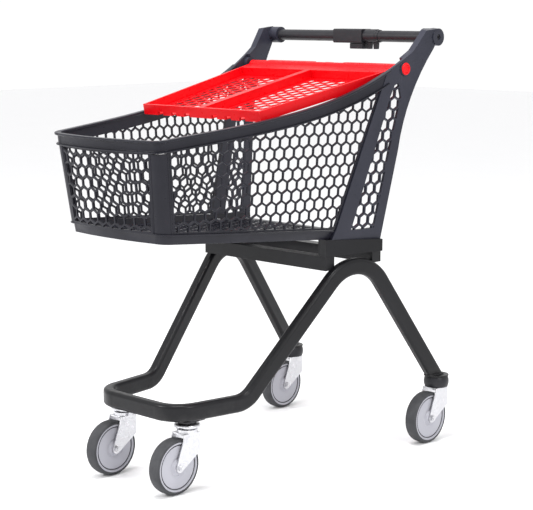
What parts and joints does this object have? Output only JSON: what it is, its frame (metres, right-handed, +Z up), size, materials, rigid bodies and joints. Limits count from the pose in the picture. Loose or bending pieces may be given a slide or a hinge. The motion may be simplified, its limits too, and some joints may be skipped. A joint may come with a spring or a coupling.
{
  "type": "shopping cart",
  "caption": "Shopping cart with a honeycomb plastic basket on a bent tube chassis, swivel casters, a raised rear flap and a coin lock on the handle.",
  "frame": {"origin": "on the ground, under the middle of the cart's bounding box", "axes": "+X across the width to the cart's right side as its user stands behind it, -Y to the front, +Y to the handle end, +Z up"},
  "size_m": [0.5506, 0.8943, 1.0008],
  "materials": {
    "chassis_paint": "semi-gloss powder coat",
    "basket_plastic": "fine matte moulded",
    "arm_plastic": "fine matte moulded",
    "red_plastic": "satin moulded",
    "black_plastic": "satin moulded",
    "zinc": "bright zinc plate",
    "wheel_disc": "smooth moulded",
    "tyre_tread": "grey soft rubber"
  },
  "bodies": {
    "frame": {"chassis_front_loop": "chassis_paint", "chassis_side_left": "chassis_paint", "chassis_side_right": "chassis_paint", "chassis_beam_front": "chassis_paint", "chassis_beam_rear": "chassis_paint", "basket_rail_left": "chassis_paint", "basket_rail_right": "chassis_paint", "rear_feet": "chassis_paint", "front_plates": "black_plastic", "swivel_races": "zinc", "kingpins": "zinc", "rear_collars": "black_plastic", "basket_floor": "basket_plastic", "basket_skirt": "basket_plastic", "basket_front": "basket_plastic", "basket_posts": "basket_plastic", "basket_side_left": "basket_plastic", "basket_side_right": "basket_plastic", "rim_front": "basket_plastic", "rim_left": "basket_plastic", "rim_right": "basket_plastic", "arm_left": "arm_plastic", "arm_right": "arm_plastic", "floor_bolts": "zinc", "handle_tube": "black_plastic", "handle_plugs": "zinc", "handle_screws": "black_plastic", "handle_clamp": "black_plastic", "handle_collar": "black_plastic", "lock_body": "black_plastic", "lock_key": "black_plastic", "hinge_pins": "red_plastic"},
    "flap": {"flap_panel": "red_plastic", "flap_frame": "red_plastic"},
    "coin": {"coin_drawer": "red_plastic"},
    "swivel_front_left": {"fork_front_left": "zinc", "balls_front_left": "zinc", "axle_bolt_front_left": "zinc", "axle_bush_front_left": "zinc"},
    "roller_front_left": {"wheel_front_left": "wheel_disc", "tyre_front_left": "tyre_tread"},
    "swivel_front_right": {"fork_front_right": "zinc", "balls_front_right": "zinc", "axle_bolt_front_right": "zinc", "axle_bush_front_right": "zinc"},
    "roller_front_right": {"wheel_front_right": "wheel_disc", "tyre_front_right": "tyre_tread"},
    "swivel_rear_left": {"fork_rear_left": "zinc", "balls_rear_left": "zinc", "axle_bolt_rear_left": "zinc", "axle_bush_rear_left": "zinc"},
    "roller_rear_left": {"wheel_rear_left": "wheel_disc", "tyre_rear_left": "tyre_tread"},
    "swivel_rear_right": {"fork_rear_right": "zinc", "balls_rear_right": "zinc", "axle_bolt_rear_right": "zinc", "axle_bush_rear_right": "zinc"},
    "roller_rear_right": {"wheel_rear_right": "wheel_disc", "tyre_rear_right": "tyre_tread"}
  },
  "joints": [
    {"name": "flap_hinge", "type": "hinge", "parent": "frame", "child": "flap", "pos_m": [0, 0.26256, 0.90856], "axis": [1, 0, 0], "range_deg": [0, 48]},
    {"name": "coin_slide", "type": "slide", "parent": "frame", "child": "coin", "axis": [0, 1, 0], "range_m": [0, 0.012]},
    {"name": "swivel_turn_front_left", "type": "hinge", "parent": "frame", "child": "swivel_front_left", "pos_m": [-0.1055, -0.28744, 0.133], "axis": [0, 0, 1], "continuous": true},
    {"name": "wheel_spin_front_left", "type": "hinge", "parent": "swivel_front_left", "child": "roller_front_left", "pos_m": [-0.1055, -0.32744, 0.0625], "axis": [1, 0, 0], "continuous": true},
    {"name": "swivel_turn_front_right", "type": "hinge", "parent": "frame", "child": "swivel_front_right", "pos_m": [0.1055, -0.28744, 0.133], "axis": [0, 0, 1], "continuous": true},
    {"name": "wheel_spin_front_right", "type": "hinge", "parent": "swivel_front_right", "child": "roller_front_right", "pos_m": [0.1055, -0.32744, 0.0625], "axis": [1, 0, 0], "continuous": true},
    {"name": "swivel_turn_rear_left", "type": "hinge", "parent": "frame", "child": "swivel_rear_left", "pos_m": [-0.2425, 0.41756, 0.133], "axis": [0, 0, 1], "continuous": true},
    {"name": "wheel_spin_rear_left", "type": "hinge", "parent": "swivel_rear_left", "child": "roller_rear_left", "pos_m": [-0.2425, 0.37756, 0.0625], "axis": [1, 0, 0], "continuous": true},
    {"name": "swivel_turn_rear_right", "type": "hinge", "parent": "frame", "child": "swivel_rear_right", "pos_m": [0.2425, 0.41756, 0.133], "axis": [0, 0, 1], "continuous": true},
    {"name": "wheel_spin_rear_right", "type": "hinge", "parent": "swivel_rear_right", "child": "roller_rear_right", "pos_m": [0.2425, 0.37756, 0.0625], "axis": [1, 0, 0], "continuous": true}
  ]
}
